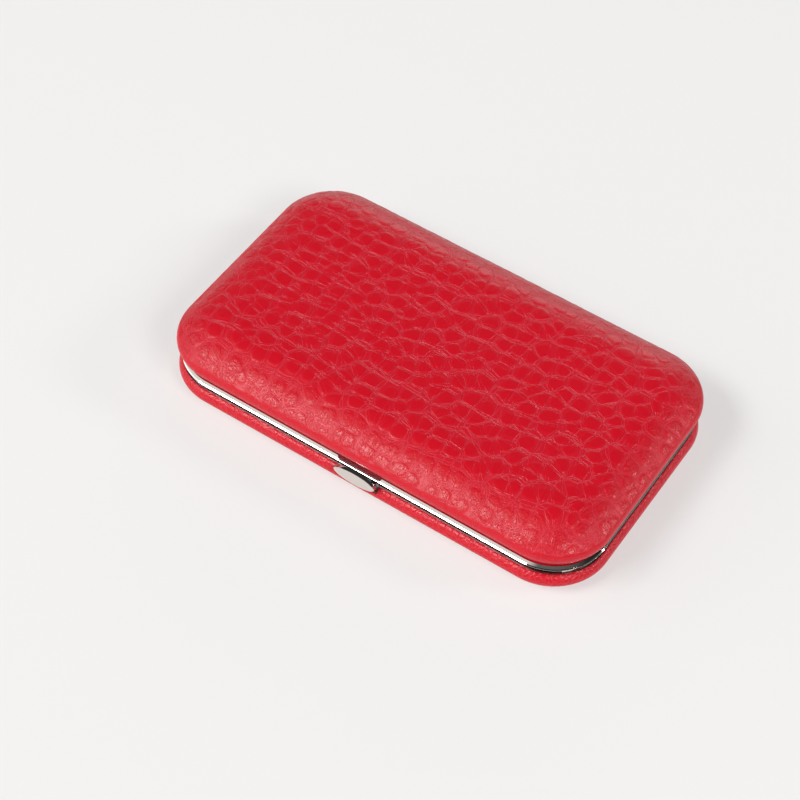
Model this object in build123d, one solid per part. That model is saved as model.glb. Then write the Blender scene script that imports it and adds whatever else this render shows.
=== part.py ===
from build123d import *
import math
import os

# A hard manicure case: two padded, leather-covered halves in pressed nickel frames,
# hinged at the back (+Y) and held shut by a push-button latch at the front (-Y).
# Millimetres, +Z up, origin under the middle of the case on the surface it lies on.

# Driving dimensions -----------------------------------------------------------

# overall body
case_l = 115.0            # over the widest bulge of the leather, along X
case_w = 67.0             # the same, along Y
case_h = 19.6
corner_r = 14.4           # plan radius of the corners, at the widest bulge
parting_h = 8.0           # height of the joint between the two frames
frame_gap = 0.1           # daylight between the closed frames

# the layers of each half, from outside to inside
leather_t = 0.6
foam_t = 1.5
base_foam_t = 1.0
shell_t = 0.8
liner_t = 0.5
foam_edge = 0.75          # how far down the tuck the foam reaches, as a share of it
lay_gap = 0.1             # glue line between two layers

# how the padded leather swells out over the frames
lid_bulge_up = 5.4        # widest line of the lid, above the joint
lid_side_r = 2.4          # radius of the lid's side, above that line
lid_tuck_r = 2.6          # and below it, where the leather tucks in to the frame
base_bulge_down = 3.8
base_side_r = 1.7
base_tuck_r = 2.1
lid_shoulder = 12.8       # from the widest line in to the flat of the lid
base_shoulder = 8.7       # and to the flat underside
shell_side_r = 1.2
facet_r = 6.0             # arcs wider than this are shoulders, the others sides
side_facets = 3           # of the visible leather
shoulder_facets = 5

# pressed frames: channels that hold the edges of the layers
strip_t = 0.5
frame_inset = 1.15        # outer face of the frames, inside the widest bulge
lid_lip_h = 2.2
base_lip_h = 1.7
inner_lip_h = 2.3
bead_r = 0.4              # rounding of the edge where the frames meet

# hinges
hinge_x = 31.0            # from the middle of the case to the middle of each hinge
hinge_l = 14.0
barrel_r = 0.9
pin_r = 0.4
pin_clear = 0.05
knuckle_gap = 0.15
leaf_t = 0.4

# push button and latch
button_l = 11.4
button_h = 4.4
button_t = 0.8
button_edge_r = 0.2
button_z = 7.45
button_travel = 0.8
button_stop = 0.45        # left behind the button when it is pushed in
pocket_gap = 0.3          # round the button, in the leather
stem_x = 4.0
stem_w = 1.2
stem_h = 0.9
slide_gap = 0.1           # running clearance of the slider in its housing
bar_w = 10.0
bar_t = 1.0
bar_h = 1.6
nose_w = 2.4
nose_h = 0.7
nose_gap = 0.1            # the hook stops this far short of the catch tongue
housing_w = 10.8
housing_back_w = 12.8
housing_floor_t = 0.4
housing_wall_t = 0.6
spring_space = 2.3        # between slider and back wall, with the button out
spring_t = 0.25
spring_h = 1.4
spring_l = 8.0
keeper_t = 0.4
tab_t = 0.5
rivet_margin = 0.55       # round the heads, on the tabs
rivet_r = 0.5
rivet_head_r = 0.85
rivet_head_t = 0.35
fit_gap = 0.05
cut_past = 1.0            # how far a cut runs on past what it cuts

# catch plate on the lid
notch_w = 10.8            # gap in the lid's frame, over the button
notch_slope = 1.4         # how much wider it is at the lip's edge, at each end
strike_w = 15.2
strike_t = 0.5
tongue_w = 5.2
tongue_t = 0.5
tongue_set = 0.2          # how far the tongue stands behind the plate's face
tongue_l = 2.7            # below the joint between the frames
window_w = 3.2
window_h = 1.2
tongue_gap = 0.3
tongue_corner_r = 0.65

# elastic tool bands
band_w = 12.0
band_t = 0.6
loop_r = 3.2              # inside radius of a loop
loop_leg = 2.0            # straight side of a loop, below its arch
loop_pitch = 10.0
base_loops = 5
lid_loops = 3
band_end = 2.6            # sewn flat beyond the last loop
base_band_x = -16.0
lid_band_x = 16.0

# Places worked out from them --------------------------------------------------

half_w = case_w / 2
lid_bottom = parting_h + frame_gap / 2
base_top = parting_h - frame_gap / 2
lid_bulge_z = parting_h + lid_bulge_up
base_bulge_z = parting_h - base_bulge_down

# plan offsets from the widest outline, negative inwards
lip_in = -frame_inset - strip_t
leather_out = lip_in - lay_gap
leather_in = leather_out - leather_t
shell_out = leather_in - lay_gap
shell_in = shell_out - shell_t
liner_out = shell_in - lay_gap
liner_in = liner_out - liner_t
inner_lip_out = liner_in - lay_gap
inner_lip_in = inner_lip_out - strip_t

# ends of the layers, inside the channels
lid_edge_z = lid_bottom + strip_t + lay_gap
base_edge_z = base_top - strip_t - lay_gap

# tops and undersides of the layers, above and below the tools
leather_top = case_h - leather_t
foam_top = leather_top - lay_gap
shell_top = foam_top - foam_t - lay_gap
leather_floor = leather_t
foam_floor = leather_floor + lay_gap
shell_floor = foam_floor + base_foam_t + lay_gap
tray_floor_t = liner_t
base_tray_z = base_bulge_z + lay_gap
base_floor = base_tray_z + tray_floor_t
lid_tray_z = lid_bulge_z - lay_gap
lid_ceiling = lid_tray_z - tray_floor_t

front_y = -(half_w - frame_inset)
back_y = half_w - frame_inset
axis_y = half_w
axis_z = parting_h


# Building blocks --------------------------------------------------------------

def block(x_from, x_to, y_from, y_to, z_from, z_to):
    """A rectangular block between two corners."""
    size = Box(x_to - x_from, y_to - y_from, z_to - z_from)
    return Pos((x_from + x_to) / 2, (y_from + y_to) / 2, (z_from + z_to) / 2) * size


def front_block(width, depth_from, depth_to, z_from, z_to, middle=0.0):
    """A block at the latch, its depth counted inwards from the frames' front face."""
    return block(middle - width / 2, middle + width / 2,
                 front_y + depth_from, front_y + depth_to, z_from, z_to)


def section(path):
    """A face inside a path of points (x, y) and arcs (centre, radius, start, sweep).

    Steps that don't meet are joined by straight lines.
    """
    edges = []
    ends = []
    for step in path:
        if len(step) == 2:
            start = end = Vector(*step)
        else:
            arc = CenterArc(*step)
            start, end = arc @ 0, arc @ 1
        if ends and (start - ends[-1]).length > 1e-6:
            edges.append(Line(ends[-1], start))
        if len(step) > 2:
            edges.append(arc)
        ends += [start, end]
    edges.append(Line(ends[-1], ends[0]))
    return make_face(Wire(edges))


def backwards(arcs):
    """The same arcs, walked the other way."""
    return [(centre, radius, start + sweep, -sweep) for centre, radius, start, sweep in reversed(arcs)]


def moulded(path, plate=None):
    """Carries a wall section round the case's outline.

    In the section x is the offset from the widest outline, negative inwards, as far as
    the corners' centres, and y is the height. The plate is the height range of the
    flat middle that closes the form, if it has one.
    """
    wall = section(path)
    long_half = case_l / 2 - corner_r
    short_half = half_w - corner_r
    pieces = []
    for side in (-1, 1):
        along_x = Plane((-side * long_half, side * half_w, 0), x_dir=(0, side, 0), z_dir=(side, 0, 0))
        along_y = Plane((side * case_l / 2, side * short_half, 0), x_dir=(side, 0, 0), z_dir=(0, -side, 0))
        pieces.append(extrude(along_x * wall, 2 * long_half))
        pieces.append(extrude(along_y * wall, 2 * short_half))
        for turn in (-1, 1):
            x, y = side * long_half, turn * short_half
            upright = Plane((x, y, 0), x_dir=(side, 0, 0), z_dir=(0, -side, 0))
            spoke = upright * (Pos(corner_r, 0) * wall)
            pieces.append(revolve(spoke, Axis((x, y, 0), (0, 0, side * turn)), 90))
    if plate:
        pieces.append(block(-long_half, long_half, -short_half, short_half, *sorted(plate)))
    return Part() + pieces


def crown(widest, wide_z, flat_z, side_r, shoulder):
    """Two tangent arcs from the widest line to the flat: a tight side, a wide shoulder."""
    up = 1 if flat_z > wide_z else -1
    run = shoulder + widest - side_r
    rise = abs(flat_z - wide_z) - side_r
    turn = 90 - 2 * math.degrees(math.atan2(rise, run))
    shift = run / math.cos(math.radians(turn))
    centre = (-shoulder, wide_z - up * shift * math.sin(math.radians(turn)))
    side = ((widest - side_r, wide_z), side_r, 0, up * turn)
    return [side, (centre, side_r + shift, up * turn, up * (90 - turn))]


def corners(arcs, parts_small=1, parts_wide=2):
    """The same line in flat facets, coarse where its faces stay hidden."""
    points = []
    for centre, radius, start, sweep in arcs:
        parts = parts_wide if radius > facet_r else parts_small
        for index in range(parts + 1):
            angle = math.radians(start + sweep * index / parts)
            points.append((centre[0] + radius * math.cos(angle), centre[1] + radius * math.sin(angle)))
    return points


def tuck(inset, wide_z, up, tuck_r):
    """The arc that tucks in under the widest line, until it meets the frame's lip."""
    reach = max(0, tuck_r + leather_out - inset)
    turn = math.degrees(math.acos(reach / (tuck_r - inset)))
    return [((-tuck_r, wide_z), tuck_r - inset, -turn * up, turn * up)]


def swell(inset, wide_z, up, tuck_r):
    """The part of that arc that the foam fills."""
    turn = math.degrees(math.asin(foam_edge))
    return [((-tuck_r, wide_z), tuck_r - inset, -turn * up, turn * up)]


def channel(web_z, outer_z, inner_z):
    """A frame's pressed strip: its web at web_z, its lips ending at outer_z and inner_z."""
    up = 1 if outer_z > web_z else -1
    web_in = web_z + up * strip_t
    outside = -frame_inset
    bead = ((outside - bead_r, web_z + up * bead_r), bead_r, 0, -90 * up)
    return moulded([
        (outside, outer_z), *corners([bead], side_facets), (inner_lip_in, web_z), (inner_lip_in, inner_z),
        (inner_lip_out, inner_z), (inner_lip_out, web_in), (lip_in, web_in), (lip_in, outer_z),
    ])


# The push button and its latch ------------------------------------------------

lip_bottom = base_top - base_lip_h
inner_lip_bottom = base_top - inner_lip_h
housing_top = base_edge_z
housing_low = base_floor + fit_gap
stem_top = housing_top - slide_gap
stem_low = stem_top - stem_h
bar_front = -inner_lip_in - frame_inset + 2 * slide_gap
bar_back = bar_front + bar_t
chamber_back = bar_back + spring_space
housing_end = chamber_back + housing_wall_t
tongue_front = strip_t + tongue_set
tongue_back = tongue_front + tongue_t
tongue_low = parting_h - tongue_l
frame_pocket = strip_t + fit_gap
window_top = stem_top + fit_gap
button_back = -(button_travel + button_stop)
button_front = button_back - button_t
back_lip = -inner_lip_in - frame_inset
rivet_x = housing_back_w / 2 + rivet_margin + rivet_head_r
rivet_z = (inner_lip_bottom + housing_top) / 2
tab_w = 2 * (rivet_x + rivet_head_r + rivet_margin)


def oval(grow, depth_from, depth_to):
    """The button's oval outline, standing upright at the latch."""
    face = Ellipse(button_l / 2 + grow, button_h / 2 + grow)
    upright = Plane(origin=(0, front_y + depth_from, button_z), x_dir=(1, 0, 0), z_dir=(0, 1, 0))
    return extrude(upright * face, depth_to - depth_from)


def make_button():
    plate = oval(0, button_front, button_back)
    rim = plate.edges().sort_by(Axis.Y)[0]
    return chamfer(rim, button_edge_r)


def make_slider():
    slider = front_block(bar_w, bar_front, bar_back, stem_top - bar_h, stem_top)
    for side in (-1, 1):
        slider += front_block(stem_w, button_back, bar_front, stem_low, stem_top, side * stem_x)
    slider += front_block(nose_w, tongue_back + nose_gap, bar_front, stem_top - nose_h, stem_top)
    return slider


def make_housing():
    """Guide block: escutcheon behind the button, slots for stems, hook and tongue."""
    plate = oval(pocket_gap - fit_gap, 0, strip_t)
    plate -= front_block(2 * button_l, -cut_past, cut_past, lip_bottom - fit_gap, button_z + button_h)
    body = plate + front_block(housing_w, 0, back_lip, housing_low, housing_top)
    body += front_block(housing_back_w, back_lip + fit_gap, housing_end, housing_low, housing_top)
    body += front_block(housing_w, back_lip - strip_t, back_lip + strip_t, housing_low, housing_top)
    tabs = front_block(tab_w, back_lip, back_lip + tab_t, inner_lip_bottom + fit_gap, housing_top)
    for side in (-1, 1):
        tabs -= rivet_hole(side)
    body += tabs
    chamber_low = stem_top - bar_h - slide_gap
    body -= front_block(bar_w + 2 * slide_gap, back_lip + slide_gap, chamber_back,
                        chamber_low, housing_top)
    for side in (-1, 1):
        body -= front_block(stem_w + 2 * slide_gap, -cut_past, bar_front, stem_low - slide_gap,
                            housing_top, side * stem_x)
    body -= front_block(nose_w + 2 * slide_gap, tongue_back, bar_front,
                        stem_top - nose_h - slide_gap, housing_top)
    body -= front_block(tongue_w + 2 * tongue_gap, tongue_front - strip_t / 2,
                        tongue_back + tongue_gap, tongue_low - slide_gap, housing_top)
    return body


def rivet_hole(side):
    hole = Cylinder(rivet_r + fit_gap, 2 * (strip_t + tab_t + cut_past))
    return Pos(side * rivet_x, front_y + back_lip, rivet_z) * Rot(90, 0, 0) * hole


def make_latch_rivets():
    """Two rivets through the frame's inner lip and the housing's tabs."""
    half = (strip_t + tab_t) / 2
    end = half + rivet_head_t
    outline = Polygon((0, -end), (rivet_head_r, -end), (rivet_head_r, -half), (rivet_r, -half),
                      (rivet_r, half), (rivet_head_r, half), (rivet_head_r, end), (0, end), align=None)
    rivet = revolve(Plane.XZ * outline, Axis.Z)
    middle_y = front_y + back_lip + (tab_t - strip_t) / 2
    return [Pos(side * rivet_x, middle_y, rivet_z) * Rot(90, 0, 0) * rivet for side in (-1, 1)]


def make_keeper():
    """Lid plate of the latch housing, with a finger of it bent over the back wall."""
    top = housing_top + fit_gap
    plate = front_block(housing_back_w, back_lip + fit_gap, housing_end, top, top + keeper_t)
    hook = front_block(housing_back_w / 2, housing_end + fit_gap, housing_end + fit_gap + keeper_t,
                       housing_low + housing_floor_t, top + keeper_t)
    bridge = front_block(housing_back_w / 2, housing_end, housing_end + fit_gap + keeper_t,
                         top, top + keeper_t)
    return plate + bridge + hook


def make_spring():
    """Bowed leaf spring between the slider's bar and the back of the housing."""
    rise = spring_space - 2 * fit_gap - spring_t
    radius = (spring_l ** 2 / 4 + rise ** 2) / (2 * rise)
    half_angle = math.degrees(math.asin(spring_l / 2 / radius))
    middle = front_y + bar_back + fit_gap + radius + spring_t
    bow = Circle(radius + spring_t) - Circle(radius)
    wedge = Polygon((0, 0), *[
        (2 * radius * math.sin(math.radians(a)), -2 * radius * math.cos(math.radians(a)))
        for a in (-half_angle, 0, half_angle)], align=None)
    leaf = bow & wedge
    low = stem_top - bar_h / 2 - spring_h / 2
    return extrude(Pos(0, middle, low) * leaf, spring_h)


def make_strike():
    """Catch plate behind the gap in the lid's frame, with a windowed tongue."""
    plate_top = lid_bottom + lid_lip_h - fit_gap
    strike = front_block(strike_w, strip_t, strip_t + strike_t, lid_edge_z, plate_top)
    tongue = front_block(tongue_w, tongue_front, tongue_back, tongue_low, plate_top)
    low_edges = tongue.edges().filter_by(Axis.Y).group_by(Axis.Z)[0]
    tongue = fillet(low_edges, tongue_corner_r)
    tongue -= front_block(window_w, 0, 2 * tongue_back, window_top - window_h, window_top)
    return strike + tongue


# Hinges -----------------------------------------------------------------------

def barrel(x_from, x_to):
    """One knuckle's outer cylinder on the hinge axis."""
    return Pos((x_from + x_to) / 2, axis_y, axis_z) * Rot(0, 90, 0) * Cylinder(barrel_r, x_to - x_from)


def hinge_leaf(middle, up, spans):
    """A leaf on the back of one frame, rolled into knuckles over the given spans."""
    lip = lid_lip_h if up > 0 else base_lip_h
    clear = barrel_r + 2 * knuckle_gap
    far = axis_z + up * (lip - fit_gap)
    near = axis_z + up * clear
    low, high = sorted((near, far))
    leaf = block(middle - hinge_l / 2, middle + hinge_l / 2, back_y, back_y + leaf_t, low, high)
    for start, end in spans:
        x_from, x_to = middle + start, middle + end
        low, high = sorted((axis_z + up * (barrel_r - leaf_t), near))
        leaf += block(x_from, x_to, back_y, back_y + leaf_t, low, high)
        low, high = sorted((axis_z + up * (barrel_r - leaf_t), axis_z + up * barrel_r))
        leaf += block(x_from, x_to, back_y, axis_y, low, high)
        leaf += barrel(x_from, x_to)
    bore = Pos(middle, axis_y, axis_z) * Rot(0, 90, 0) * Cylinder(pin_r + pin_clear, 2 * hinge_l)
    return leaf - bore


def make_hinge(middle):
    """Base leaf with two outer knuckles, lid leaf with one between, and the pin."""
    third = hinge_l / 3
    outer = [(-hinge_l / 2, -third / 2 - knuckle_gap / 2), (third / 2 + knuckle_gap / 2, hinge_l / 2)]
    inner = [(-third / 2 + knuckle_gap / 2, third / 2 - knuckle_gap / 2)]
    pin = Pos(middle, axis_y, axis_z) * Rot(0, 90, 0) * Cylinder(pin_r, hinge_l)
    return hinge_leaf(middle, -1, outer), hinge_leaf(middle, 1, inner), pin


# The two halves ---------------------------------------------------------------

def cover_path(edge_z, wide_z, flat_z, side_r, tuck_r, shoulder):
    """Leather from its edge in the frame, out round the bulge and over to the middle."""
    up = 1 if flat_z > wide_z else -1
    inner_flat = flat_z - up * leather_t
    over = crown(-leather_t, wide_z, inner_flat, side_r - leather_t, shoulder)
    outside = corners(tuck(0, wide_z, up, tuck_r) + crown(0, wide_z, flat_z, side_r, shoulder),
                      side_facets, shoulder_facets)
    under = corners(tuck(leather_t, wide_z, up, tuck_r))[0]
    inside = [*corners(backwards(swell(leather_t, wide_z, up, tuck_r) + over)), under]
    return [(leather_out, edge_z), *outside, (-corner_r, flat_z), (-corner_r, inner_flat),
            *inside, (leather_in, inside[-1][1]), (leather_in, edge_z)]


def foam_path(wide_z, flat_z, shell_z, side_r, tuck_r, shoulder):
    """Foam between the leather's bulge and the shell's straight wall."""
    up = 1 if flat_z > wide_z else -1
    inset = leather_t + lay_gap
    over = crown(-inset, wide_z, flat_z, side_r - inset, shoulder)
    outside = corners(swell(inset, wide_z, up, tuck_r) + over)
    wall = shell_out + lay_gap
    bed = shell_z + up * lay_gap
    inside = corners(backwards(crown(wall, wide_z, bed, shell_side_r + lay_gap, shoulder)))
    return [*outside, (-corner_r, flat_z), (-corner_r, bed), *inside, (wall, outside[0][1])]


def shell_path(edge_z, wide_z, flat_z, shoulder):
    """Stiff pressed shell: straight wall, sloping shoulder, flat middle."""
    up = 1 if flat_z > wide_z else -1
    inner_flat = flat_z - up * shell_t
    outside = corners(crown(shell_out, wide_z, flat_z, shell_side_r, shoulder))
    inside = corners(backwards(crown(shell_in, wide_z, inner_flat, shell_side_r - shell_t, shoulder)))
    return [(shell_out, edge_z), *outside, (-corner_r, flat_z), (-corner_r, inner_flat),
            *inside, (shell_in, edge_z)]


def liner_path(edge_z, seat_z, floor_z):
    """Flat tray that lines the inside."""
    return [(liner_out, edge_z), (liner_out, seat_z), (-corner_r, seat_z),
            (-corner_r, floor_z), (liner_in, floor_z), (liner_in, edge_z)]


def notch_wedge(low, high, depth):
    """The gap over the button, its ends sloping apart towards the lip's edge."""
    half = notch_w / 2
    wide = half + notch_slope
    ends = Polygon((-half, low), (half, low), (wide, high), (-wide, high), align=None)
    upright = Plane((0, front_y - depth, 0), x_dir=(-1, 0, 0), z_dir=(0, 1, 0))
    return extrude(upright * ends, 2 * depth)


def make_lid():
    outer_z = lid_bottom + lid_lip_h
    back = tongue_back + lay_gap
    notch = front_block(notch_w, -cut_past, back, parting_h - cut_past, lid_bottom + strip_t)
    notch += notch_wedge(lid_bottom + bead_r, outer_z, back)
    strike_room = front_block(strike_w + 2 * lay_gap, 0, -leather_in, parting_h, outer_z + lay_gap)
    wide_z, foam_z, shell_z = lid_bulge_z, foam_top, shell_top
    rounding = (lid_side_r, lid_tuck_r, lid_shoulder)
    cover = moulded(cover_path(lid_edge_z, wide_z, case_h, *rounding), (leather_top, case_h))
    foam = moulded(foam_path(wide_z, foam_z, shell_z, *rounding), (shell_z + lay_gap, foam_z))
    shell = moulded(shell_path(lid_edge_z, wide_z, shell_z, lid_shoulder), (shell_z - shell_t, shell_z))
    liner = moulded(liner_path(lid_edge_z, lid_tray_z, lid_ceiling), (lid_ceiling, lid_tray_z))
    return {
        "lid_frame": channel(lid_bottom, outer_z, lid_bottom + inner_lip_h) - notch,
        "lid_cover": cover - strike_room,
        "lid_padding": foam,
        "lid_shell": shell,
        "lid_liner": liner,
    }


def make_base():
    latch_gap = front_block(housing_w + 2 * fit_gap, -cut_past, back_lip + cut_past,
                            lip_bottom - cut_past, housing_top + lay_gap)
    slot = front_block(tongue_w + 2 * tongue_gap, strip_t, tongue_back + tongue_gap,
                       base_edge_z, parting_h)
    frame = channel(base_top, lip_bottom, inner_lip_bottom) - latch_gap - slot
    frame -= front_block(notch_w, -cut_past, frame_pocket, lip_bottom - cut_past, parting_h)
    for side in (-1, 1):
        frame -= rivet_hole(side)
    pocket = oval(pocket_gap, -2 * frame_inset, frame_pocket)
    gap = front_block(housing_w + 2 * lay_gap, -cut_past, back_lip, housing_low - lay_gap, parting_h)
    rivet_room = front_block(tab_w + 2 * lay_gap, 0, back_lip, housing_low - lay_gap, parting_h)
    wide_z, foam_z, shell_z = base_bulge_z, foam_floor, shell_floor
    rounding = (base_side_r, base_tuck_r, base_shoulder)
    cover = moulded(cover_path(base_edge_z, wide_z, 0, *rounding), (0, leather_floor))
    foam = moulded(foam_path(wide_z, foam_z, shell_z, *rounding), (foam_z, shell_z - lay_gap))
    shell = moulded(shell_path(base_edge_z, wide_z, shell_z, base_shoulder), (shell_z, shell_z + shell_t))
    liner = moulded(liner_path(base_edge_z, base_tray_z, base_floor), (base_tray_z, base_floor))
    return {
        "base_frame": frame,
        "base_cover": cover - pocket - gap,
        "base_padding": foam - pocket - gap,
        "base_shell": shell - gap,
        "base_liner": liner - rivet_room,
    }


def tool_band(loops, middle_x, up, seat_z):
    """Elastic sewn down between the loops that hold the tools."""
    first = -(loops - 1) / 2 * loop_pitch
    half_run = -first + loop_r + band_t + band_end
    profile = Pos(0, band_t / 2) * Rectangle(2 * half_run, band_t)
    for index in range(loops):
        at = Pos(first + index * loop_pitch, 0)
        outer = at * Pos(0, loop_leg) * Circle(loop_r + band_t)
        outer += at * Pos(0, loop_leg / 2) * Rectangle(2 * (loop_r + band_t), loop_leg)
        inner = at * Pos(0, loop_leg) * Circle(loop_r)
        inner += at * Pos(0, loop_leg / 2) * Rectangle(2 * loop_r, loop_leg)
        below = at * Pos(0, -loop_r) * Rectangle(2 * case_w, 2 * loop_r)
        profile = profile + outer - inner - below
    across = Plane(origin=(middle_x - band_w / 2, 0, seat_z), x_dir=(0, 1, 0), z_dir=(1, 0, 0))
    if up < 0:
        across = Plane(origin=(middle_x + band_w / 2, 0, seat_z), x_dir=(0, 1, 0), z_dir=(-1, 0, 0))
    return extrude(across * profile, band_w)


# The whole case ---------------------------------------------------------------

nodes = {}
nodes.update(make_base())
nodes.update(make_lid())
nodes["button"] = make_button()
nodes["latch_slider"] = make_slider()
nodes["latch_housing"] = make_housing()
nodes["latch_keeper"] = make_keeper()
nodes["latch_rivets"] = Compound(children=make_latch_rivets())
nodes["latch_spring"] = make_spring()
nodes["lid_strike"] = make_strike()
for side, name in ((-1, "left"), (1, "right")):
    base_leaf, lid_leaf, pin = make_hinge(side * hinge_x)
    nodes[f"hinge_{name}_base_leaf"] = base_leaf
    nodes[f"hinge_{name}_lid_leaf"] = lid_leaf
    nodes[f"hinge_{name}_pin"] = pin
nodes["base_tool_band"] = tool_band(base_loops, base_band_x, 1, base_floor + fit_gap)
nodes["lid_tool_band"] = tool_band(lid_loops, lid_band_x, -1, lid_ceiling - fit_gap)

os.makedirs("parts", exist_ok=True)
for name, shape in nodes.items():
    export_step(shape, f"parts/{name}.step")
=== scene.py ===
# %% [markdown]
# # A hard manicure case in grained leather
#
# The case is two padded halves, hinged at the back and shut by a push button at the front.
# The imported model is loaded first. It gives every piece its place, and it says which body
# each piece moves with: the base, the lid or the button.

# %% Load the frame
import math

import bmesh
import bpy
from mathutils import Matrix, Vector


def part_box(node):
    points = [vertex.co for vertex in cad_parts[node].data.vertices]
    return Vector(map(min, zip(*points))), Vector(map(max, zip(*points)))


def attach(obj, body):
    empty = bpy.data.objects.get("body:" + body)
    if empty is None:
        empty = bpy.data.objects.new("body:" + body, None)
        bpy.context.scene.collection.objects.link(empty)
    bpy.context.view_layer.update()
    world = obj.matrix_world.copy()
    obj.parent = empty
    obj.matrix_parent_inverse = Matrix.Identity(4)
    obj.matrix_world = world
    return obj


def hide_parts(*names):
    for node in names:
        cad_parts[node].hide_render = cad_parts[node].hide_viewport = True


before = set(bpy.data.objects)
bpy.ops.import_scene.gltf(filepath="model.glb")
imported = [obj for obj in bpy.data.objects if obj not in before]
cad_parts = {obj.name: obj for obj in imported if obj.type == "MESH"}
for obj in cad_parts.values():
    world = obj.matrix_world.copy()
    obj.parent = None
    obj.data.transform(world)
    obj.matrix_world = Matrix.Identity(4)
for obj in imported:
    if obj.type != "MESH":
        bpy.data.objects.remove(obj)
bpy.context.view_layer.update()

MM = 0.001


# %% [markdown]
# ## Camera
#
# The camera looks down on the case's front right from 52 degrees, through a long lens, so
# that the far edge is nearly as long as the near one. A long lens a good way off gives a
# product its true proportions. The small lens shift only frames the case.

# %% Camera
AZIMUTH = math.radians(31.03)
ELEVATION = math.radians(51.75)
ROLL = math.radians(-2.95)
DISTANCE = 496.98 * MM
FOCAL_PIXELS = 2103.7
IMAGE_PIXELS = 800
CENTRE_PIXEL = (436.5, 401.1)
SENSOR = 36.0

backwards = Vector((
    math.sin(AZIMUTH) * math.cos(ELEVATION),
    -math.cos(AZIMUTH) * math.cos(ELEVATION),
    math.sin(ELEVATION),
))
camera_data = bpy.data.cameras.new("studio_camera")
camera = bpy.data.objects.new("studio_camera", camera_data)
bpy.context.scene.collection.objects.link(camera)
camera.location = DISTANCE * backwards
upright = backwards.to_track_quat("Z", "Y")
camera.rotation_euler = (upright.to_matrix() @ Matrix.Rotation(-ROLL, 3, "Z")).to_euler()
camera_data.sensor_width = SENSOR
camera_data.lens = SENSOR * FOCAL_PIXELS / IMAGE_PIXELS
camera_data.shift_x = 0.5 - CENTRE_PIXEL[0] / IMAGE_PIXELS
camera_data.shift_y = CENTRE_PIXEL[1] / IMAGE_PIXELS - 0.5
bpy.context.scene.camera = camera
bpy.context.scene.view_settings.view_transform = "Standard"
print(f"lens {camera_data.lens:.1f} mm, {camera.location.length * 1000:.0f} mm away")


# %% [markdown]
# ## Nodes and colours
#
# A material is a small graph of nodes. One function adds a node, sets its options, and fills
# its sockets with a value or with a link. Colours are written as the hex values that a
# painter's chart shows and turned to the linear values that light is added up in.

# %% Helpers for nodes and colours
MATH = "ShaderNodeMath"     # the kinds of node that are used most
VECTOR_MATH = "ShaderNodeVectorMath"
MAP_RANGE = "ShaderNodeMapRange"
NOISE = "ShaderNodeTexNoise"


def linear(hex_colour):
    """An sRGB hex colour as linear red, green, blue and full alpha."""
    channels = []
    for start in (1, 3, 5):
        value = int(hex_colour[start:start + 2], 16) / 255
        channels.append(value / 12.92 if value <= 0.04045 else ((value + 0.055) / 1.055) ** 2.4)
    return (*channels, 1.0)


def add(tree, kind, sockets=None, **options):
    """Adds a node, sets its options, and fills its sockets with values, sockets or other nodes."""
    node = tree.nodes.new(kind)
    for option, value in options.items():
        setattr(node, option, value)
    for name, value in (sockets or {}).items():
        if isinstance(value, bpy.types.Node):
            value = value.outputs[0]
        if isinstance(value, bpy.types.NodeSocket):
            tree.links.new(value, node.inputs[name])
        else:
            node.inputs[name].default_value = value
    return node


def new_material(name):
    """An empty material and its node tree."""
    material = bpy.data.materials.new(name)
    material.use_nodes = True
    material.node_tree.nodes.clear()
    return material, material.node_tree


def finish_material(tree, shader):
    """Links the shader to the material's output."""
    add(tree, "ShaderNodeOutputMaterial", {"Surface": shader})


print("red as linear light:", [round(c, 3) for c in linear("#C8142A")[:3]])


# %% [markdown]
# ## Room
#
# Polished metal shows nothing but what it mirrors. The studio is dim, and only its front
# left is pale, so the metal gets the dark and bright stripes that make it look like metal.
# The world draws the walls: one ramp gives the brightness of the dim ones from the floor up,
# and one that of the pale one.

# %% World
PALE_SIDE = (-0.6, -0.8, 0.0)       # towards the pale wall
PALE_EDGE = (0.6, 0.85)             # cosines of the angles from there between which it fades in
WALL_GLOW = 1.25
WALL_LEVELS = {                     # height as a share of the way up, and colour
    "pale": [(0.0, "#DAD9D8"), (0.42, "#DAD9D8"), (0.62, "#7A7979"), (0.85, "#6A6969")],
    "dim": [
        (0.0, "#1E1E1F"), (0.2, "#2A2A2B"), (0.38, "#6A6968"), (0.55, "#6A6968"),
        (0.7, "#303030"),
    ],
}

scene = bpy.context.scene
world = bpy.data.worlds.new("studio_room")
world.use_nodes = True
scene.world = world
room = world.node_tree
room.nodes.clear()
direction = add(room, "ShaderNodeTexCoord").outputs["Generated"]
axes = add(room, "ShaderNodeSeparateXYZ", {0: direction}).outputs


def wall(levels):
    """The brightness of a wall, from the floor's edge up to the ceiling."""
    ramp = add(room, "ShaderNodeValToRGB", {"Fac": axes["Z"]})
    marks = ramp.color_ramp.elements
    marks.remove(marks[-1])
    marks[0].position, marks[0].color = levels[0][0], linear(levels[0][1])
    for place, colour in levels[1:]:
        marks.new(place).color = linear(colour)
    return ramp


towards_pale = add(room, VECTOR_MATH, {0: direction, 1: PALE_SIDE}, operation="DOT_PRODUCT")
pale_share = add(room, MAP_RANGE, {
    "Value": towards_pale.outputs["Value"], "From Min": PALE_EDGE[0], "From Max": PALE_EDGE[1],
}, interpolation_type="SMOOTHSTEP")
walls = add(room, "ShaderNodeMixRGB", {
    "Fac": pale_share, "Color1": wall(WALL_LEVELS["dim"]), "Color2": wall(WALL_LEVELS["pale"]),
})
glow = add(room, "ShaderNodeBackground", {"Color": walls, "Strength": WALL_GLOW})
add(room, "ShaderNodeOutputWorld", {"Surface": glow})
print("walls:", list(WALL_LEVELS))


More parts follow.
